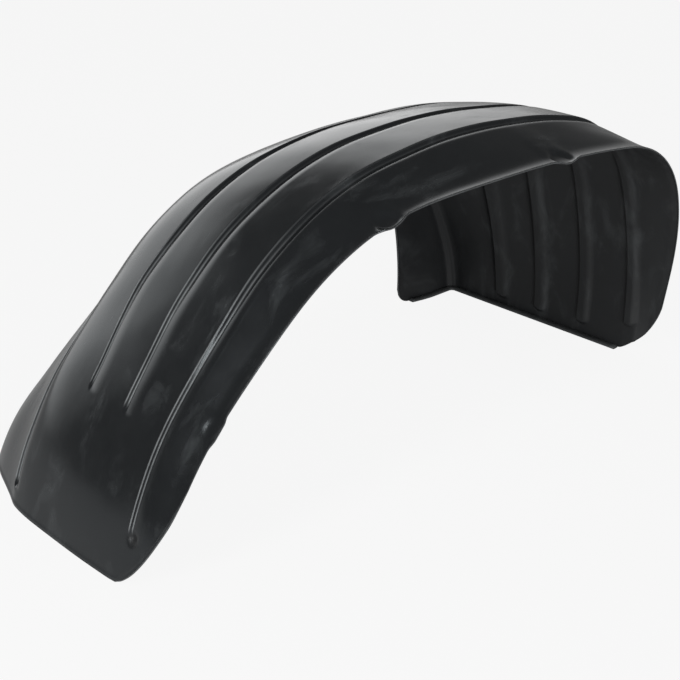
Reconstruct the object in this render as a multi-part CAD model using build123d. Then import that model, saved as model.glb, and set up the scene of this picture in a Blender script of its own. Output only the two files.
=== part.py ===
from build123d import *
import math
import os

# Sheet
sheet = 3.0

# Side view of the arch, walked from the left foot over the top to the right foot
foot_angle = 79.8
arc_lengths = (178.8, 78.5, 180.3, 267.6, 142.9, 194.3)
arc_turns = (31.9, 2.7, 36.8, 21.6, 59.1, 23.3)
station_gap = 33.0
foot_overrun = 16.0

# Tread that rolls down to a fold, and the inner wall below the fold, at even stations along the arch
inner_reach = 251.0
wall_depths = (102.0, 122.5, 96.0)
roll_drops = (42.0, 90.5, 104.5, 103.0, 62.5, 47.0, 0.0)
roll_powers = (3.5, 2.8, 1.55)
roll_points = 9
fold_radius = 10.0

# Outer skirt and its turned lip, at even stations along the arch
bend_reach = 13.0
bend_share = 0.1
ledge = 2.8
skirt_reaches = (44.5, 47.5, 57.0, 70.5, 74.0, 60.5, 31.5)
skirt_depths = (1.5, 9.5, 16.0, 24.0, 15.5, -4.0, -8.5)
lip_width = 7.0

# Grooves pressed into the tread: far edge, width, the two ends along the arch, and the lean of the left end
groove_depth = 4.0
steep_flank = 1.5
easy_flank = 9.0
lean_start = 245.0
lean_run = 95.0
outer_groove = (0.0, 13.5, 39.0, 1012.0, 0.0)
second_groove = (61.5, 17.0, 128.0, 1027.0, 7.5)
third_groove = (120.5, 17.0, 131.0, 1030.0, 12.0)
inner_groove = (176.0, 17.0, 14.0, 1030.0, 0.0)

# Cut corners at the feet, width, height and bow, the wall's round corner and the right foot's lip
left_corner = (47.5, 104.5, 1.36)
right_corner = (61.5, 89.5, 1.15)
corner_points = 9
wall_corner = 18.0
foot_lip = 7.0

# Round screw seats sunk in the skirt's edge, by distance along the arch
seat_radius = 11.0
seat_depth = 3.5
seat_setback = 9.0
seat_places = (152.0, 383.0, 602.0)

arch_length = sum(arc_lengths)
far_away = 400.0


def walk(distance):
    """Point and heading of the arch line, arc by arc; the end arcs run on past the feet."""
    x, z, heading, left = 0.0, 0.0, math.radians(foot_angle), distance
    for number, (length, turn) in enumerate(zip(arc_lengths, arc_turns)):
        bend = math.radians(turn) / length
        last = number == len(arc_lengths) - 1
        run = left if last else min(left, length)
        after = heading - bend * run
        x += (math.sin(heading) - math.sin(after)) / bend
        z += (math.cos(after) - math.cos(heading)) / bend
        heading, left = after, left - run
        if left <= 0:
            break
    return x, z, heading


def place(distance, reach, rise):
    """A point of the section at this distance: reach is across the arch, rise is outward."""
    x, z, heading = walk(distance)
    return Vector(x - math.sin(heading) * rise, reach, z + math.cos(heading) * rise)


def position(distance):
    """Distance along the arch as minus one at the left foot to plus one at the right."""
    return 2.0 * distance / arch_length - 1.0


def eased(values, distance):
    """Value at this distance, eased through values given at even stations."""
    at = (position(distance) + 1.0) / 2.0 * (len(values) - 1)
    low = max(0, min(int(at), len(values) - 2))
    t = at - low
    a, b, c = values[max(low - 1, 0)], values[low], values[low + 1]
    d = values[min(low + 2, len(values) - 1)]
    start, end = (c - a) / 2.0, (d - b) / 2.0
    return b + start * t + (3 * (c - b) - 2 * start - end) * t ** 2 + (2 * (b - c) + start + end) * t ** 3


def fold_drop(distance):
    """Depth of the fold below the arch line: deep over the top, level at the right foot."""
    return eased(roll_drops, distance)


def tread(distance, reach):
    """Outward height of the tread: a power curve from the outer groove to the fold, a slope outside it."""
    if reach <= 0:
        return (ledge + bend_share * eased(skirt_depths, distance)) * reach / bend_reach
    return -fold_drop(distance) * (reach / inner_reach) ** eased(roll_powers, distance)


def fold(distance):
    """Start, middle and end of the rounded fold between tread and wall."""
    drop = fold_drop(distance)
    slope = math.atan(drop * eased(roll_powers, distance) / inner_reach)
    half = (math.pi / 2 - slope) / 2
    run = min(fold_radius * math.tan(half), 0.7 * (eased(wall_depths, distance) - drop))
    radius = run / math.tan(half)
    gap = radius / math.cos(half) - radius
    start = inner_reach - run * math.cos(slope)
    lean = math.atan2(math.sin(slope) - 1.0, -math.cos(slope))
    middle = (inner_reach + gap * math.cos(lean), -drop + gap * math.sin(lean))
    return [(start, tread(distance, start)), middle, (inner_reach, -drop - run)]


def outline(distance):
    """Outer line of the section: lip, skirt, tread, fold and wall."""
    reach, depth = eased(skirt_reaches, distance), eased(skirt_depths, distance)
    points = [(-reach, -depth), (lip_width - reach, -depth)]
    points += [(-y, tread(distance, -y)) for y in (bend_reach, bend_reach / 2)]
    folded = fold(distance)
    for number in range(roll_points):
        y = folded[0][0] * number / roll_points
        points.append((y, tread(distance, y)))
    return points + folded + [(inner_reach, -eased(wall_depths, distance))]


def inset(points, depth):
    """The same line moved inward, with mitred corners."""
    moved = []
    for index, (y, h) in enumerate(points):
        before, after = points[max(index - 1, 0)], points[min(index + 1, len(points) - 1)]
        turn_in = math.atan2(h - before[1], y - before[0])
        turn_out = math.atan2(after[1] - h, after[0] - y)
        if index == 0:
            turn_in = turn_out
        if index == len(points) - 1:
            turn_out = turn_in
        middle = (turn_in + turn_out) / 2
        reach = depth / math.cos((turn_out - turn_in) / 2)
        moved.append((y + math.sin(middle) * reach, h - math.cos(middle) * reach))
    return moved


def section(distance):
    """Closed outline of the sheet across the arch at one station."""
    outer = outline(distance)
    out = [place(distance, y, h) for y, h in outer]
    back = [place(distance, y, h) for y, h in inset(outer, sheet)]
    edges = [Line(out[0], out[1]), Line(out[1], out[2]), Spline(out[2:-3])]
    edges += [ThreePointArc(*out[-4:-1]), Line(out[-2], out[-1]), Line(out[-1], back[-1])]
    edges += [Line(back[-1], back[-2]), ThreePointArc(*back[-2:-5:-1])]
    edges += [Spline(back[2:-3][::-1]), Line(back[2], back[1]), Line(back[1], back[0])]
    edges.append(Line(back[0], out[0]))
    return Wire(edges)


def stations(start, end):
    """Evenly spaced station distances between two ends."""
    count = round((end - start) / station_gap)
    return [start + (end - start) * number / count for number in range(count + 1)]


def shell():
    """The plain liner, a sheet lofted over all stations."""
    wires = [section(d) for d in stations(-foot_overrun, arch_length + foot_overrun)]
    return Solid.make_loft(wires, False)


def channel(groove, grow, top, depth):
    """Bar along one groove: a trapezium lofted over the groove's stations."""
    far_edge, width, start, end, lean = groove
    wires = []
    for d in stations(start - grow, end + grow):
        share = max(0.0, min(1.0, (lean_start - d) / lean_run))
        edge = far_edge - lean * share * share * (3.0 - 2.0 * share)
        far, near = edge + grow, edge - width - grow
        line = [(far, top), (near, top), (near + easy_flank, -depth), (far - steep_flank, -depth)]
        corners = [place(d, y, tread(d, y) + h) for y, h in line]
        wires.append(Wire.make_polygon(corners, close=True))
    return Solid.make_loft(wires, False)


def skirt_waste(corner, x_low, x_high):
    """Waste outside a cut lower corner of the skirt, seen along the car; its line is a flattened ellipse."""
    width, height, bow = corner
    line = []
    for number in range(corner_points):
        turn = math.pi / 2 * number / (corner_points - 1)
        out, up = math.sin(turn) ** (2 / bow), max(math.cos(turn), 0.0) ** (2 / bow)
        line.append((-width * out, height * (1 - up)))
    with BuildSketch(Plane.YZ.offset(x_low)) as waste:
        with BuildLine():
            Spline(line)
            Polyline((0, 0), (0, -height), (-2 * width, -height), (-2 * width, height), (-width, height))
        make_face()
    return extrude(waste.sketch, x_high - x_low)


def floor_distance(low, high):
    """Distance along the arch, between low and high, where the wall's free edge meets the floor."""
    for _ in range(60):
        middle = (low + high) / 2
        if place(middle, 0.0, -eased(wall_depths, middle)).Z < 0:
            low = middle
        else:
            high = middle
    return middle


def wall_waste(distance, side):
    """Waste outside the rounded lower corner of the wall's free edge; side points into the wall."""
    x, z, heading = walk(distance)
    corner = place(distance, 0.0, -eased(wall_depths, distance))
    up = (side * -math.cos(heading), abs(math.sin(heading)))
    half = math.acos(side * up[0]) / 2
    run, gap = wall_corner / math.tan(half), wall_corner / math.sin(half) - wall_corner
    lean = (side + up[0], up[1])
    scale = gap / math.hypot(*lean)
    foot, top = (corner.X + side * run, 0.0), (corner.X + up[0] * run, up[1] * run)
    middle = (corner.X + lean[0] * scale, lean[1] * scale)
    outside = corner.X - side * 2 * wall_corner
    with BuildSketch(Plane.XZ) as waste:
        with BuildLine():
            ThreePointArc(foot, middle, top)
            Polyline(top, (outside, top[1]), (outside, -wall_corner), (foot[0], -wall_corner), foot)
        make_face()
    return extrude(waste.sketch, wall_corner, both=True).moved(Location((0, inner_reach, 0)))


def right_lip():
    """Lip turned inward along the right foot, under the tread and under the wall."""
    foot = arch_length + sheet
    lap = sheet / 2
    under_tread = [(0.0, -lap), (inner_reach - lap, -lap)]
    under_tread += [(inner_reach - lap, -sheet - foot_lip), (0.0, -sheet - foot_lip)]
    deep = wall_depths[-1] - wall_corner - foot_lip
    under_wall = [(inner_reach - lap, -lap), (inner_reach - lap, -deep)]
    under_wall += [(inner_reach - sheet - foot_lip, -deep), (inner_reach - sheet - foot_lip, -lap)]
    bands = []
    for line in (under_tread, under_wall):
        wire = Wire.make_polygon([place(foot, y, h) for y, h in line], close=True)
        bands.append(extrude(Face(wire), 2 * sheet, dir=(0, 0, 1)))
    return bands


def seat_disc(distance, radius, low, high):
    """Round disc at a screw seat, between two heights over the skirt's outer face."""
    reach, depth = eased(skirt_reaches, distance), eased(skirt_depths, distance)
    lean = math.atan2(depth, reach - bend_reach)
    x, z, heading = walk(distance)
    flat = math.cos(lean)
    normal = Vector(-math.sin(heading) * flat, -math.sin(lean), math.cos(heading) * flat)
    centre = place(distance, seat_setback - reach, seat_setback * math.sin(lean) - depth)
    return Plane(origin=centre + normal * ((low + high) / 2), z_dir=normal) * Cylinder(radius, high - low)


def liner():
    """The whole liner, standing on the floor with its base centred on the origin."""
    body = shell()
    for groove in (outer_groove, second_groove, third_groove, inner_groove):
        body = body + channel(groove, sheet, -sheet / 2, groove_depth + sheet)
        body = body - channel(groove, 0.0, sheet, groove_depth)
    for band in right_lip():
        body = body + band
    for distance in seat_places:
        body = body + seat_disc(distance, seat_radius + sheet, -seat_depth - sheet, -sheet / 2)
        body = body - seat_disc(distance, seat_radius, -seat_depth, 2 * sheet)
    body = body - skirt_waste(left_corner, -far_away, far_away / 2)
    body = body - skirt_waste(right_corner, far_away, 3 * far_away)
    body = body - wall_waste(floor_distance(-far_away / 8, far_away / 2), -1.0)
    body = body - wall_waste(floor_distance(arch_length + far_away / 8, arch_length / 2), 1.0)
    floor = Box(5 * far_away, 5 * far_away, far_away, align=(Align.CENTER, Align.CENTER, Align.MAX))
    body = body - floor
    box = body.bounding_box()
    return body.moved(Location((-box.center().X, -box.center().Y, 0)))


os.makedirs("parts", exist_ok=True)
solid = liner()
export_step(solid, "parts/arch_liner.step")
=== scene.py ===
import bpy
import numpy as np
from mathutils import Matrix


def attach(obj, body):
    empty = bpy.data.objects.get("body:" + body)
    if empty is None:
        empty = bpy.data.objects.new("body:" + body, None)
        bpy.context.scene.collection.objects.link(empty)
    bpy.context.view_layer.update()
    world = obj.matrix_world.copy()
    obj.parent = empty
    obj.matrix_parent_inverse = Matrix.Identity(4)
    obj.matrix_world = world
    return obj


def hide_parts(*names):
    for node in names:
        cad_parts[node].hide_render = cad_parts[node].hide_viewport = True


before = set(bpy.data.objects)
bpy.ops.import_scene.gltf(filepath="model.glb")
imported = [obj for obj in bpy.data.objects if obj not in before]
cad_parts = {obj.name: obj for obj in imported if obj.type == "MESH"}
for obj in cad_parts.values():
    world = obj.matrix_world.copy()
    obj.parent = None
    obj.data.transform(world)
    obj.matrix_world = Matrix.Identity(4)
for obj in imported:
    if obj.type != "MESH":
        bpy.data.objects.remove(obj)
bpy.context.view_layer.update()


# Liner sheet
# One black plastic sheet, heated and drawn over a mould, then trimmed round its edges. Grooves,
# shoulder, inner wall, skirt, turned lip and screw seats are all pressed in that one sheet.

mm = 0.001
sheet = 3.0
foot_angle = 79.8
arc_lengths = np.array([178.8, 78.5, 180.3, 267.6, 142.9, 194.3])
arc_turns = np.array([31.9, 2.7, 36.8, 21.6, 59.1, 23.3])
arch_length = arc_lengths.sum()
arch_step, arch_overrun, ease_steps = 0.5, 60.0, 40
base_centre = np.array([342.98, 86.66, 0.0])


def step(t):
    """Smooth step: 0 below t = 0, 1 above t = 1, three t squared minus two t cubed between."""
    t = np.clip(t, 0.0, 1.0)
    return t * t * (3.0 - 2.0 * t)


def arch(s):
    """Side view of the arch at distance s: x, z and heading. The heading falls evenly along each arc, is
    averaged over a short window so that the arcs ease into each other, and is summed up into x and z."""
    fine = np.arange(-arch_overrun, arch_length + arch_overrun + arch_step, arch_step)
    ends = np.concatenate([[0.0], np.cumsum(arc_lengths)])
    turned = np.concatenate([[0.0], np.cumsum(arc_turns)])
    low = arc_turns[0] / arc_lengths[0]
    high = arc_turns[-1] / arc_lengths[-1]
    heading = np.interp(fine, ends, turned)
    heading = heading + np.minimum(fine, 0) * low + np.maximum(fine - arch_length, 0) * high
    window = np.ones(2 * ease_steps + 1) / (2 * ease_steps + 1)
    heading = np.convolve(np.pad(heading, ease_steps, mode="edge"), window, mode="valid")
    heading = np.radians(foot_angle - heading)
    x = np.cumsum(np.cos(heading)) * arch_step
    z = np.cumsum(np.sin(heading)) * arch_step
    zero = np.searchsorted(fine, 0.0)
    return np.interp(s, fine, x - x[zero]), np.interp(s, fine, z - z[zero]), np.interp(s, fine, heading)


def eased(values, s):
    """Value at distance s: a cubic through values at even stations, with slopes from their neighbours."""
    at = s / arch_length * (len(values) - 1)
    low = np.clip(np.floor(at).astype(int), 0, len(values) - 2)
    t = at - low
    a, b, c, d = (values[np.clip(low + k, 0, len(values) - 1)] for k in (-1, 0, 1, 2))
    start, end = (c - a) / 2, (d - b) / 2
    return b + start * t + (3 * (c - b) - 2 * start - end) * t ** 2 + (2 * (b - c) + start + end) * t ** 3


ledge, ledge_start, ledge_start_run, ledge_end, ledge_end_run = 2.0, 120.0, 260.0, 940.0, 200.0


def flat_ledge(s):
    """Drop of the ledge outside the outer groove, which fades out towards both feet."""
    return ledge * step((s - ledge_start) / ledge_start_run) * step((ledge_end - s) / ledge_end_run)


inner_reach = 251.0
roll_drops = np.array([42.0, 90.5, 104.5, 103.0, 62.5, 47.0, 0.0])
roll_powers = np.array([3.5, 2.8, 1.55])
bend_reach, bend_share = 13.0, 0.1
skirt_reaches = np.array([44.5, 47.5, 57.0, 70.5, 74.0, 60.5, 31.5])
skirt_depths = np.array([1.5, 9.5, 16.0, 24.0, 15.5, -4.0, -8.5])
crease_y, crease_lift, crease_near, crease_far = 165.0, 5.4, 40.0, 12.0
crease_end, crease_run = 430.0, 130.0
hollow_share, hollow_offset, hollow_width = 0.7, 39.0, 22.0


def tread(s, y):
    """Outward height of the tread: a power of y from the outer groove to the fold, a straight slope outside
    it, and on the left leg a soft crease, a bump with a slow near side and a quick far side over a hollow."""
    drop = eased(roll_drops, s)
    inside = -drop * (np.maximum(y, 0.0) / inner_reach) ** eased(roll_powers, s)
    past = y - crease_y
    bump = np.exp(-(past / np.where(past < 0.0, crease_near, crease_far)) ** 2)
    hollow = hollow_share * np.exp(-((past - hollow_offset) / hollow_width) ** 2)
    crease = crease_lift * drop / roll_drops.max() * step((crease_end - s) / crease_run) * (bump - hollow)
    outside = (flat_ledge(s) + bend_share * eased(skirt_depths, s)) * np.minimum(y, 0.0) / bend_reach
    return inside + crease + outside


lean_start, lean_run = 245.0, 95.0
bow_start, bow_start_run, bow_end, bow_end_run = 150.0, 120.0, 760.0, 200.0


def sway(s, lean, bow):
    """Shift in y of a groove at distance s: it leans to the near side at the left, and may bow to the far."""
    bowed = bow * step((s - bow_start) / bow_start_run) * step((bow_end - s) / bow_end_run)
    return bowed - lean * step((lean_start - s) / lean_run)


# Grooves, skirt to wall: y of the far rim, width, both ends along the arch, lean, width of the far flank
grooves = ((0.0, 13.5, 39.0, 1012.0, 0.0, 5.0), (61.5, 17.0, 128.0, 1027.0, 7.5, 4.8),
           (120.5, 17.0, 131.0, 1030.0, 12.0, 4.3), (176.0, 17.0, 14.0, 1030.0, 0.0, 3.4))
inner_bow = 10.0

# Columns of the grid across the sheet, close together at both edges and on the flanks
skirt_share = np.concatenate([np.linspace(1.0, 0.76, 12), np.linspace(0.72, 0.05, 15)])
flat_y, flat_lean, flat_bow = [], [], []
for far, width, _, _, lean, steep in grooves:
    ramp_y, flank_y = np.linspace(far - width, far - steep - 1.0, 5), np.linspace(far - steep, far + 0.4, 10)
    flat_y.append(np.concatenate([ramp_y, flank_y]))
    flat_lean.append(np.full(len(flat_y[-1]), lean))
    flat_bow.append(np.full(len(flat_y[-1]), inner_bow * (far > crease_y)))
between = np.array([1.2, 8, 18, 28, 38, 43, 62.7, 69, 79, 89, 98, 102,
                    121.7, 128, 135, 142, 149, 155, 177.2, 183])
second_lean, third_lean = grooves[1][4], grooves[2][4]
between_lean = [0.0, second_lean, second_lean, third_lean, third_lean, 0.0]
flat_y = np.concatenate(flat_y + [between])
flat_lean = np.concatenate(flat_lean + [np.interp(between, [0, 43, 63, 102, 122, 156], between_lean)])
flat_bow = np.concatenate(flat_bow + [np.interp(between, [122, 156], [0.0, inner_bow])])
order = np.argsort(flat_y)
flat_y, flat_lean, flat_bow = flat_y[order], flat_lean[order], flat_bow[order]
roll_share = np.linspace(0.0, 1.0, 9)[1:-1]
fold_share = np.linspace(0.0, 1.0, 9)
wall_share = np.concatenate([np.linspace(0.05, 0.8, 8), np.linspace(0.84, 1.0, 7)])
n_skirt, n_flat, n_roll, n_fold = len(skirt_share), len(flat_y), len(roll_share), len(fold_share)
columns = n_skirt + n_flat + n_roll + n_fold + len(wall_share)

# Screw seats: distance along the arch, radius, depth, and how far the edge stands out beside them
seats = ((152.0, 11.0, 0.5, 2.0), (383.0, 15.0, 2.8, 4.0), (602.0, 15.0, 3.0, 4.0))
tab_margin, tab_slope = 6.0, 1.6
wall_depths = np.array([102.0, 122.5, 96.0])
fold_radius, fold_room = 10.0, 0.7
lip_width, lip_blend = 9.0, 0.16
skirt_power, power_loss, power_start, power_run = 1.35, 0.35, 70.0, 180.0


def section(s):
    """Section across the arch for distances s of shape (rows, columns): reach y and outward height h.
    The columns run along the skirt as shares from its edge to the bend, along the tread at fixed y that lean
    with the grooves, on to the fold, round it as a circle, and down the wall as shares of its depth."""
    drop = eased(roll_drops, s)
    slope = np.arctan(drop * eased(roll_powers, s) / inner_reach)
    half = (np.pi / 2 - slope) / 2
    deep = eased(wall_depths, s)
    run = np.minimum(fold_radius * np.tan(half), fold_room * (deep - drop))
    turned_radius = run / np.tan(half)
    begin = inner_reach - run * np.cos(slope)
    reach, depth = eased(skirt_reaches, s), eased(skirt_depths, s)
    for place, radius, _, overhang in seats:
        reach = reach + overhang * step(tab_slope * (1 - np.abs(s - place) / (radius + tab_margin)))
    a, b, c, d = np.cumsum([n_skirt, n_flat, n_roll, n_fold])
    y, h = np.zeros_like(s), np.zeros_like(s)
    y[:, :a] = -bend_reach - skirt_share * (reach - bend_reach)[:, :a]
    along = (-y - bend_reach)[:, :a] / (reach - lip_width - bend_reach)[:, :a]
    blend = np.maximum(lip_blend - np.abs(along - 1), 0)
    along = np.minimum(along, 1) - blend ** 2 / (4 * lip_blend)
    low = flat_ledge(s[:, :a]) + bend_share * depth[:, :a]
    power = skirt_power - power_loss * step((s[:, :a] - power_start) / power_run)
    h[:, :a] = -low - (depth[:, :a] - low) * np.maximum(along, 0.0) ** power
    y[:, a:b] = flat_y + sway(s[:, a:b], flat_lean, flat_bow)
    y[:, b:c] = y[:, b - 1:b] + roll_share * (begin[:, b:c] - y[:, b - 1:b])
    h[:, a:c] = tread(s[:, a:c], y[:, a:c])
    turn = (np.pi / 2 - slope[:, c:d]) * (1 - fold_share)
    y[:, c:d] = inner_reach - turned_radius[:, c:d] * (1 - np.cos(turn))
    h[:, c:d] = -(drop + run)[:, c:d] + turned_radius[:, c:d] * np.sin(turn)
    y[:, d:] = inner_reach
    top = (drop + run)[:, d:]
    h[:, d:] = -top - wall_share * (deep[:, d:] - top)
    return y, h


# Cut corners of the feet: width, height, power of the flattened ellipse, and its reach under the tread.
# Both curves stop just short of their end, where they would stand upright.
left_corner, right_corner = (47.5, 104.5, 1.6, 10.0), (61.5, 89.5, 1.35, 6.0)
left_soft, right_soft = 4.0, 15.0
ellipse_end, rounding_end = 0.998, 0.99
wall_corner, wall_rise, wall_rise_run = 18.0, 4.0, 60.0
trim_passes, trim_pace = 40, 0.6


def foot_distance(first, corner, rise, soft):
    """Distance at which each column meets its trimmed lower edge: the floor, raised to a flattened ellipse at
    the skirt's corner, with a quarter circle of radius soft where it runs into the skirt's edge, and to a
    slight slope with a quarter circle on the wall. Found by stepping along the leg."""
    wide, tall, power, under = corner
    s = np.full((1, columns), first)
    for _ in range(trim_passes):
        y, h = section(s)
        _, z, heading = arch(s)
        outside = np.clip((under - y) / (wide + under), 0, ellipse_end)
        lift = tall * (1 - (1 - outside ** power) ** (1 / power))
        from_edge = np.clip(1 - (eased(skirt_reaches, s) + y) / soft, 0, rounding_end)
        lift = lift + soft * (1 - np.sqrt(1 - from_edge ** 2))
        left_over = eased(wall_depths, s) + h
        on_wall = y > inner_reach - 0.5
        low = np.clip(wall_corner - left_over, 0, wall_corner * ellipse_end) * on_wall
        lift = lift + wall_corner - np.sqrt(wall_corner ** 2 - low ** 2)
        lift = lift + rise * step((wall_rise_run - left_over) / wall_rise_run) * on_wall
        s = s + trim_pace * (lift - z - np.cos(heading) * h) / np.sin(heading)
    return s


# Rows of the grid along the arch, close together at groove ends, seats and feet, whose trim they follow
rows = 345
end_crowd, end_crowd_run, foot_crowd, foot_crowd_run = 1.2, 12.0, 2.0, 10.0
foot_blend, first_guess = 300.0, 10.0
ends = [e for groove in grooves for e in groove[2:4]] + [seat[0] for seat in seats]
even = np.linspace(0.0, arch_length, 3000)
crowd = 1.0 + sum(end_crowd * np.exp(-((even - e) / end_crowd_run) ** 2) for e in set(ends))
crowd = crowd + foot_crowd * np.exp(-even / foot_crowd_run)
crowd = crowd + foot_crowd * np.exp((even - arch_length) / foot_crowd_run)
share = np.cumsum(crowd)
base_s = np.interp(np.linspace(share[0], share[-1], rows), share, even)[:, None]
left_fade = np.clip(1 - base_s / foot_blend, 0, 1) ** 2
right_fade = np.clip(1 - (arch_length - base_s) / foot_blend, 0, 1) ** 2
left_foot = foot_distance(first_guess, left_corner, 0.0, left_soft)
right_foot = foot_distance(arch_length - first_guess, right_corner, wall_rise, right_soft)
distance = base_s + left_foot * left_fade + (right_foot - arch_length) * right_fade
reach_y, height = section(distance)

groove_depth, ridge_depth, ridge_grow, ridge_ramp = 3.4, 4.0, 2.4, 0.45
shallow_shares, shallow_end, shallow_run = (0.75, 0.68, 0.68, 0.2), 340.0, 180.0
end_rise = 5.0


def pressed(s, y, grow, ramp):
    """Share of the groove depth at (s, y): across each groove a ramp that deepens with the square of the
    distance from its near rim and ends after its share of the floor, times a steep flank at its far rim, and
    along it a quick rise inside its half-round ends. Down the left leg each loses a share of its depth."""
    share = np.zeros_like(s)
    for (far, width, start, end, lean, steep), lost in zip(grooves, shallow_shares):
        half = width / 2 + grow
        off = y - far + width / 2 - sway(s, lean, inner_bow * (far > crease_y))
        across = np.clip((off + half) / (2 * half - steep) / ramp, 0, 1) ** 2 * step((half - off) / steep)
        bow = half - np.sqrt(np.maximum(half ** 2 - off ** 2, 0.0)) - grow
        shallow = 1.0 - lost * step((shallow_end - s) / shallow_run)
        begun, unfinished = step((s - start - bow) / end_rise), step((end - bow - s) / end_rise)
        share = np.maximum(share, across * shallow * begun * unfinished)
    return share


# Painted highlight along each groove's steep flank: its strength, and width of a line
rim_highlight_strength = ((1.5, 0.5), (1.7, 0.55), (1.5, 0.5), (2.4, 0.6))
rim_place, flank_foot_place, flank_foot_share = 0.1, 0.75, 0.8
highlight_gap, highlight_gap_run, highlight_tail = 6.0, 8.0, 40.0
highlight_least, highlight_end, highlight_run = 0.1, 350.0, 150.0


def painted_rim_highlight(s, y):
    """Share of painted highlight at (s, y): two thin light lines along each groove's steep flank, at its rim
    and near its foot, painted where the lamp's reflection falls, which fade out from the left leg towards the
    top."""
    share = np.zeros_like(s)
    for (far, _, start, end, lean, steep), (most, spread) in zip(grooves, rim_highlight_strength):
        off = far + sway(s, lean, inner_bow * (far > crease_y)) - y
        rim_line = np.exp(-((off - rim_place * steep) / spread) ** 2)
        foot_line = flank_foot_share * np.exp(-((off - flank_foot_place * steep) / spread) ** 2)
        length = step((s - start - highlight_gap) / highlight_gap_run) * step((end - s) / highlight_tail)
        length = length * (highlight_least + (1.0 - highlight_least) * step((highlight_end - s) / highlight_run))
        share = np.maximum(share, most * (rim_line + foot_line) * length)
    return share


seat_setback, seat_wall = 5.0, 8.0


def sunk(s, y):
    """Depth of the screw seats at (s, y): round hollows with soft walls, set back from the skirt's edge."""
    from_edge = eased(skirt_reaches, s) + y
    depth = np.zeros_like(s)
    for place, radius, deepest, _ in seats:
        inward = radius - np.hypot(s - place, from_edge - seat_setback)
        depth = np.maximum(depth, deepest * step(inward / seat_wall))
    return depth


def waves(s, y):
    """Unevenness of a drawn sheet in millimetres: three slow sines that cross each other."""
    long = 0.4 * np.sin(s / 37.0 + y / 55.0)
    middle = 0.25 * np.sin(s / 21.0 - y / 27.0 + 1.7)
    short = 0.1 * np.sin(s / 12.0 + y / 14.0 + 4.0)
    return long + middle + short


def skin(lift):
    """The section moved outward by lift along its own normal, stood on the arch line, and kept above
    the floor."""
    flat = np.stack([reach_y, height], -1)
    ahead = np.diff(flat, axis=1)
    length = np.linalg.norm(ahead, axis=2, keepdims=True)
    unit = ahead / length
    middle = unit[:, :-1] * length[:, 1:] + unit[:, 1:] * length[:, :-1]
    tangent = np.concatenate([unit[:, :1], middle, unit[:, -1:]], 1)
    tangent /= np.linalg.norm(tangent, axis=2, keepdims=True)
    y, h = reach_y - tangent[..., 1] * lift, height + tangent[..., 0] * lift
    x, z, heading = arch(distance)
    points = (np.stack([x - np.sin(heading) * h, y, z + np.cos(heading) * h], -1) - base_centre) * mm
    points[..., 2] = np.maximum(points[..., 2], 0.0)
    return points


pit_depth, pit_after, pit_y, pit_spread = 2.4, 4.0, -7.0, 20.0
edge_thinning, edge_thinning_run = 0.5, 8.0
bead_height, bead_place, bead_width = 0.7, 2.5, 1.5
fold_line, fold_bulge = 1.0, 0.6
edge_bulge = 0.8
calm_y, calm_y_run, calm_height, calm_height_run = -60.0, 40.0, -140.0, 60.0
off_skirt_edge = step((reach_y - calm_y) / calm_y_run)
off_wall_edge = step((height - calm_height) / calm_height_run)
uneven = waves(distance, reach_y) * off_skirt_edge * off_wall_edge
from_pit = (distance - grooves[0][2] - pit_after) ** 2 + (reach_y - pit_y) ** 2
pit = pit_depth * np.exp(-from_pit / pit_spread)
seat = sunk(distance, reach_y)
near_edge = edge_thinning_run - eased(skirt_reaches, distance) - reach_y
thinned = sheet * (1 - edge_thinning * step(near_edge / edge_thinning_run))
on_tread = reach_y < inner_reach - 1.0
bead = bead_height * np.exp(-((distance - left_foot - bead_place) / bead_width) ** 2) * on_tread
at = np.arange(columns) - n_skirt - n_flat - n_roll
fold_lines = fold_line * ((at == 0) | (at == n_fold - 1)) - fold_bulge * ((at > 1) & (at < n_fold - 2))
hollows = groove_depth * pressed(distance, reach_y, grow=0.0, ramp=1.0)
ridges = ridge_depth * pressed(distance, reach_y, ridge_grow, ridge_ramp)
outside_skin = skin(uneven + bead - hollows - pit - seat)
inside_skin = skin(uneven - thinned - ridges - pit - seat + fold_lines)


def closed_sheet(front, back, bulge):
    """Closes two skins of one grid into a sheet: a rounded band runs round the rim, on half a flat ellipse
    from the front rim over the edge to the back rim. Returns points, quads and each point's side (0 to 1)."""
    r, c = front.shape[:2]
    number = np.arange(r * c).reshape(r, c)
    rim = np.concatenate([number[0, :-1], number[:-1, -1], number[-1, :0:-1], number[:0:-1, 0]])
    inner = np.pad(number[1:-1, 1:-1], 1, mode="edge")
    beside = np.concatenate([inner[0, :-1], inner[:-1, -1], inner[-1, :0:-1], inner[:0:-1, 0]])
    a, b = front.reshape(-1, 3), back.reshape(-1, 3)
    out = a[rim] - a[beside]
    out /= np.maximum(np.linalg.norm(out, axis=1, keepdims=True), 1e-9)
    angle = np.pi * np.array([0.25, 0.5, 0.75])[:, None, None]
    middle, halfway = (a[rim] + b[rim]) / 2, (a[rim] - b[rim]) / 2
    band = middle + halfway * np.cos(angle) + out * bulge * np.sin(angle)
    band[..., 2] = np.maximum(band[..., 2], 0.0)
    points = np.concatenate([a, b, band.reshape(-1, 3)])
    quads = np.stack([number[:-1, :-1], number[1:, :-1], number[1:, 1:], number[:-1, 1:]], -1).reshape(-1, 4)
    band_number = 2 * r * c + np.arange(3 * len(rim)).reshape(3, -1)
    ring = np.concatenate([rim[None], band_number, rim[None] + r * c])
    after = np.roll(ring, -1, axis=1)
    around = np.stack([ring[:-1], after[:-1], after[1:], ring[1:]], -1).reshape(-1, 4)
    side = np.concatenate([np.zeros(r * c), np.ones(r * c), np.repeat([0.1, 0.3, 0.6], len(rim))])
    return points, np.concatenate([quads, quads[:, ::-1] + r * c, around[:, ::-1]]), side


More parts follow.
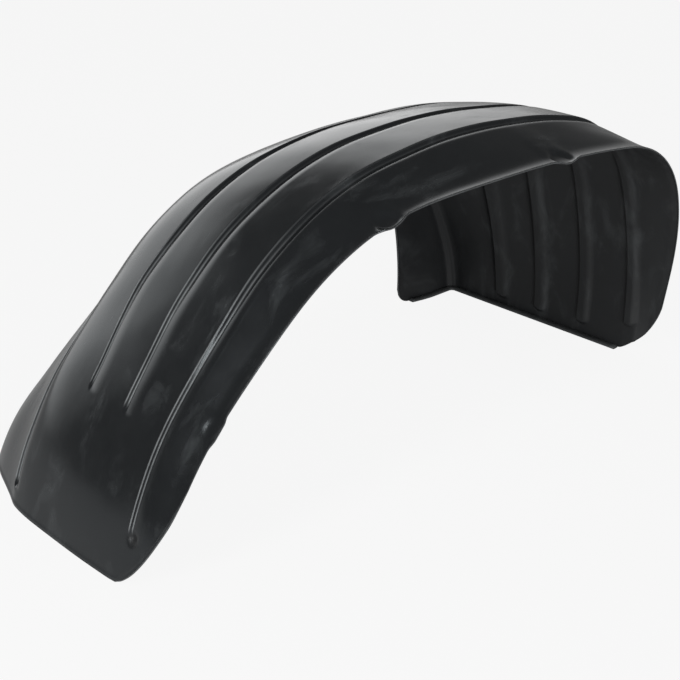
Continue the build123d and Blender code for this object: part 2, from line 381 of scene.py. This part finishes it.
def mesh_piece(name, points, quads):
    """A smooth shaded mesh object at the origin from points in metres and quads."""
    mesh = bpy.data.meshes.new(name)
    mesh.vertices.add(len(points))
    mesh.vertices.foreach_set("co", np.ascontiguousarray(points, dtype=np.float32).ravel())
    mesh.loops.add(quads.size)
    mesh.loops.foreach_set("vertex_index", np.ascontiguousarray(quads, dtype=np.int32).ravel())
    mesh.polygons.add(len(quads))
    mesh.polygons.foreach_set("loop_start", np.arange(0, quads.size, 4, dtype=np.int32))
    mesh.polygons.foreach_set("use_smooth", np.ones(len(quads), dtype=bool))
    mesh.update(calc_edges=True)
    mesh.validate()
    piece = bpy.data.objects.new(name, mesh)
    bpy.context.collection.objects.link(piece)
    return piece


def mark(piece, name, values):
    """Stores one number for each point of a piece, for its material to read."""
    layer = piece.data.attributes.new(name, "FLOAT", "POINT")
    layer.data.foreach_set("value", values.astype(np.float32))


points, quads, side = closed_sheet(outside_skin, inside_skin, edge_bulge * mm)
liner = mesh_piece("liner_sheet", points, quads)
# Painted highlight: the groove rims and the trimmed edge band get a share of light grey in the colour, the
# back skin none.
trimmed_edge_highlight = 0.3
painted_highlight = np.full(len(points), trimmed_edge_highlight)
painted_highlight[:pit.size] = painted_rim_highlight(distance, reach_y).ravel()
painted_highlight[pit.size:2 * pit.size] = 0.0
side[:pit.size] = np.minimum(2.0 * pit.ravel() / pit.max(), 1.0)
mark(liner, "inside", side)
mark(liner, "painted_highlight", painted_highlight)


class Wire:
    """A socket of a shader tree. Operators on it add Math nodes, and make adds any other node."""

    def __init__(self, tree, socket):
        self.tree, self.socket = tree, socket

    def make(self, kind, settings=None, out=0, **inputs):
        node = self.tree.nodes.new(kind)
        for name, value in (settings or {}).items():
            setattr(node, name, value)
        for name, value in inputs.items():
            key = int(name[1:]) if name[0] == "_" else name.replace("_", " ")
            if isinstance(value, Wire):
                self.tree.links.new(value.socket, node.inputs[key])
            else:
                node.inputs[key].default_value = value
        return Wire(self.tree, node.outputs[out])

    def math(self, operation, a, b):
        return self.make("ShaderNodeMath", {"operation": operation}, _0=a, _1=b)

    def __add__(self, other):
        return self.math("ADD", self, other)

    def __radd__(self, other):
        return self.math("ADD", other, self)

    def __sub__(self, other):
        return self.math("SUBTRACT", self, other)

    def __rsub__(self, other):
        return self.math("SUBTRACT", other, self)

    def __mul__(self, other):
        return self.math("MULTIPLY", self, other)

    def __rmul__(self, other):
        return self.math("MULTIPLY", other, self)


def new_material(name):
    """An empty node material: the material, its output node and a first wire to build from."""
    material = bpy.data.materials.new(name)
    material.use_nodes = True
    material.node_tree.nodes.clear()
    output = material.node_tree.nodes.new("ShaderNodeOutputMaterial")
    return material, output, Wire(material.node_tree, None)


deep_black, soft_black = (0.0085, 0.0093, 0.0102, 1), (0.0140, 0.0150, 0.0160, 1)
# Dust, and the light grey painted on groove rims, trimmed edges and the foot lip as a highlight.
dust, highlight_grey = (0.0420, 0.0455, 0.0475, 1), (0.215, 0.225, 0.230, 1)
cool_gloss, inside_gloss = (0.88, 0.96, 1.0, 1), 0.4
colours, smooth = {"data_type": "RGBA"}, {"interpolation_type": "SMOOTHSTEP"}
black_plastic, output, wire = new_material("black_plastic")
place = wire.make("ShaderNodeTexCoord", out="Object")
swell = wire.make("ShaderNodeTexNoise", Vector=place, Scale=11.0, Detail=2.0, Roughness=0.45)
cloud = wire.make("ShaderNodeTexNoise", Vector=place, Scale=34.0, Detail=4.0, Roughness=0.6)
grain = wire.make("ShaderNodeTexNoise", Vector=place, Scale=1400.0, Detail=2.0, Roughness=0.6)
drift = wire.make("ShaderNodeMapping", Vector=place, Scale=(1.0, 2.2, 1.0), Rotation=(0.0, 0.5, 0.4))
smear = wire.make("ShaderNodeTexNoise", Vector=drift, Scale=16.0, Detail=5.0, Roughness=0.62, Distortion=0.6)
smear = wire.make("ShaderNodeMapRange", smooth, Value=smear, From_Min=0.50, From_Max=0.74)
bumps = swell * 1.1 + cloud * 0.10 + grain * 0.012
relief = wire.make("ShaderNodeBump", Strength=1.0, Distance=0.001, Height=bumps)
tint = wire.make("ShaderNodeMix", colours, out=2, Factor=cloud, A=deep_black, B=soft_black)
dusted = wire.make("ShaderNodeMix", colours, out=2, Factor=smear * 0.6, A=tint, B=dust)
# Painted highlight: a share of light grey, mottled by the cloud, where the lamp's reflection falls on rims and
# edges; it also roughens them a little.
painted_highlight = wire.make("ShaderNodeAttribute", {"attribute_name": "painted_highlight"}, out="Fac") * (0.35 + cloud * 0.9)
dust_and_highlight_colour = wire.make("ShaderNodeMix", colours, out=2, Factor=painted_highlight, A=dusted, B=highlight_grey)
sheen = 0.11 + cloud * 0.13 + smear * 0.12 + painted_highlight * 0.1
satin = wire.make("ShaderNodeBsdfPrincipled", Base_Color=dust_and_highlight_colour, Roughness=sheen, Normal=relief,
                  Specular_Tint=cool_gloss)
matte = wire.make("ShaderNodeBsdfPrincipled", Base_Color=dust_and_highlight_colour, Roughness=0.42 + cloud * 0.2, Normal=relief)
matte.socket.node.inputs["Specular IOR Level"].default_value = inside_gloss
inside = wire.make("ShaderNodeAttribute", {"attribute_name": "inside"}, out="Fac")
both = wire.make("ShaderNodeMixShader", Fac=inside, _1=satin, _2=matte)
wire.tree.links.new(both.socket, output.inputs["Surface"])
liner.data.materials.append(black_plastic)
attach(liner, "root")
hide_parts("arch_liner")


# Foot lip
# A narrow lip left by the trimming, turned inward along the right foot under the tread and the inner
# wall. It is the same sheet, so it takes the sheet's material.

lip_turn, lip_swell, lip_half = 7.0, 0.8, 1.7
lip_corner, lip_start = 9.0, 4.0
lip_rise_start, lip_highlight = 35.0, 0.25


def rounded_bar(path, sideways, up, half_width, half_height, sides=12):
    """A bar along a path: a rounded rectangle, which is a superellipse of power four, at each point, and
    closed at both ends."""
    angle = np.linspace(0, 2 * np.pi, sides, endpoint=False)
    c, s = np.cos(angle), np.sin(angle)
    scale = (np.abs(c) ** 4 + np.abs(s) ** 4) ** -0.25
    across, upward = (half_width * scale * c)[None, :, None], (half_height * scale * s)[None, :, None]
    ring = path[:, None] + sideways[:, None] * across + up * upward
    count = len(path)
    number = np.arange(count * sides).reshape(count, sides)
    after = np.roll(number, -1, axis=1)
    quads = np.stack([number[:-1], after[:-1], after[1:], number[1:]], -1).reshape(-1, 4)
    fold = np.arange(sides // 2 - 1)
    cap = np.stack([fold, fold + 1, sides - 2 - fold, sides - 1 - fold], -1)
    return ring.reshape(-1, 3), np.concatenate([quads, cap[:, ::-1], cap + (count - 1) * sides])


turn = np.linspace(0, np.pi / 2, 14)
foot_x = arch(np.array([arch_length]))[0][0] - sheet - lip_turn / 2
wall_y = inner_reach - sheet - lip_turn / 2
along_y = np.linspace(lip_start, wall_y - lip_corner, 40)
along_x = np.linspace(foot_x - lip_corner, foot_x - wall_depths[-1] + wall_corner + lip_turn, 20)
bend_y, bend_x = along_y[-1] + lip_corner * np.sin(turn), foot_x - lip_corner * (1 - np.cos(turn))
path_y = np.concatenate([along_y, bend_y[1:-1], np.full(len(along_x), wall_y)])
path_x = np.concatenate([np.full(len(along_y), foot_x), bend_x[1:-1], along_x])
path_z = lip_half + wall_rise * step((foot_x - lip_rise_start - path_x) / wall_rise_run)
path = (np.stack([path_x, path_y, path_z], -1) - base_centre) * mm
forward = np.gradient(path, axis=0)
forward /= np.linalg.norm(forward, axis=1, keepdims=True)
sideways = np.stack([forward[:, 1], -forward[:, 0], np.zeros(len(path))], -1)
upright = np.array([0.0, 0.0, 1.0])
points, quads = rounded_bar(path, sideways, upright, (lip_turn / 2 + lip_swell) * mm, lip_half * mm)
foot_lip = mesh_piece("foot_lip", points, quads)
foot_lip.data.materials.append(black_plastic)
mark(foot_lip, "inside", np.ones(len(points)))
# A share of painted highlight lightens the whole lip.
mark(foot_lip, "painted_highlight", np.full(len(points), lip_highlight))
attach(foot_lip, "root")


# Studio
# A plain pale floor, a white wall of light behind under a dim ceiling, a tall lamp on the left and a
# square one beside the camera. The camera sees floor and surroundings as white.

floor_size, floor_grey = 12.0, (0.58, 0.58, 0.58, 1)
white, glow_share, glossy_share = (1, 1, 1, 1), 0.9, 0.2
corners = np.array([[-1, -1, 0], [1, -1, 0], [1, 1, 0], [-1, 1, 0]]) * floor_size
floor = mesh_piece("floor", corners, np.array([[0, 1, 2, 3]]))
pale, output, wire = new_material("pale_floor")
paint = wire.make("ShaderNodeBsdfDiffuse", Color=floor_grey)
glow = wire.make("ShaderNodeEmission", Color=white, Strength=1.0)
rays = wire.make("ShaderNodeLightPath").socket.node.outputs
seen = Wire(wire.tree, rays["Is Camera Ray"]) + Wire(wire.tree, rays["Is Transmission Ray"])
seen = seen + Wire(wire.tree, rays["Is Glossy Ray"]) * glossy_share
surface = wire.make("ShaderNodeMixShader", Fac=seen * glow_share, _1=paint, _2=glow)
wire.tree.links.new(surface.socket, output.inputs["Surface"])
floor.data.materials.append(pale)

ceiling_light, wall_light, seen_light = 0.13, 1.52, 0.94
wall_side, wall_back = 0.259, 0.966
world = bpy.data.worlds.new("studio")
bpy.context.scene.world = world
world.use_nodes = True
world.node_tree.nodes.clear()
wire = Wire(world.node_tree, None)
sky = wire.make("ShaderNodeTexCoord", out="Generated")
parts = wire.make("ShaderNodeSeparateXYZ", Vector=sky).socket.node.outputs
side, back, up = (Wire(wire.tree, parts[axis]) for axis in "XYZ")
level = wire.math("SQRT", 1.0001 - up * up, 0.0)
facing = wire.math("DIVIDE", side * wall_side + back * wall_back, level)
behind = wire.make("ShaderNodeMapRange", smooth, Value=facing, From_Min=0.65, From_Max=0.93)
low = wire.make("ShaderNodeMapRange", smooth, Value=up, From_Min=0.67, From_Max=0.38)
rays = wire.make("ShaderNodeLightPath").socket.node.outputs
seen = Wire(wire.tree, rays["Is Camera Ray"]) + Wire(wire.tree, rays["Is Transmission Ray"])
lit = ceiling_light + behind * low * wall_light
dome = wire.make("ShaderNodeBackground", Color=white, Strength=lit + seen * (seen_light - lit))
output = wire.tree.nodes.new("ShaderNodeOutputWorld")
wire.tree.links.new(dome.socket, output.inputs["Surface"])


def soft_lamp(name, place, target, width, height, power):
    """A rectangular lamp at place that faces target."""
    lamp = bpy.data.lights.new(name, "AREA")
    lamp.shape, lamp.size, lamp.size_y, lamp.energy = "RECTANGLE", width, height, power
    holder = bpy.data.objects.new(name, lamp)
    holder.location = place
    away = np.array(place) - np.array(target)
    turn = np.arctan2(away[0], -away[1])
    tilt = np.arctan2(np.hypot(away[0], away[1]), away[2])
    holder.rotation_euler = (tilt, 0, turn)
    bpy.context.collection.objects.link(holder)


soft_lamp("key", place=(-2.15, -0.4, 1.2), target=(-0.2, 0, 0.12), width=0.45, height=1.6, power=24.0)
soft_lamp("fill", place=(-1.2, -2.1, 0.55), target=(0, 0, 0.12), width=1.0, height=1.0, power=42.0)


# Camera
# Stands to the left of the skirt side and above, at the photograph's angle. It is turned by its yaw and
# pitch, and then by a slight roll about its own axis.

lens, yaw, pitch, roll = 77.476, 0.7726, 0.4201, -0.0089
camera_place = (-0.90957, -0.91924, 0.66058)
camera_data = bpy.data.cameras.new("camera")
camera = bpy.data.objects.new("camera", camera_data)
bpy.context.collection.objects.link(camera)
camera_data.lens = lens
ahead = np.array([np.sin(yaw) * np.cos(pitch), np.cos(yaw) * np.cos(pitch), -np.sin(pitch)])
right = np.array([np.cos(yaw), -np.sin(yaw), 0.0])
down = np.cross(ahead, right)
right, down = np.cos(roll) * right + np.sin(roll) * down, np.cos(roll) * down - np.sin(roll) * right
turned = np.eye(4)
turned[:3, 0], turned[:3, 1], turned[:3, 2] = right, -down, -ahead
turned[:3, 3] = camera_place
camera.matrix_world = Matrix(turned.tolist())
bpy.context.scene.camera = camera
bpy.context.scene.view_settings.view_transform = "Standard"
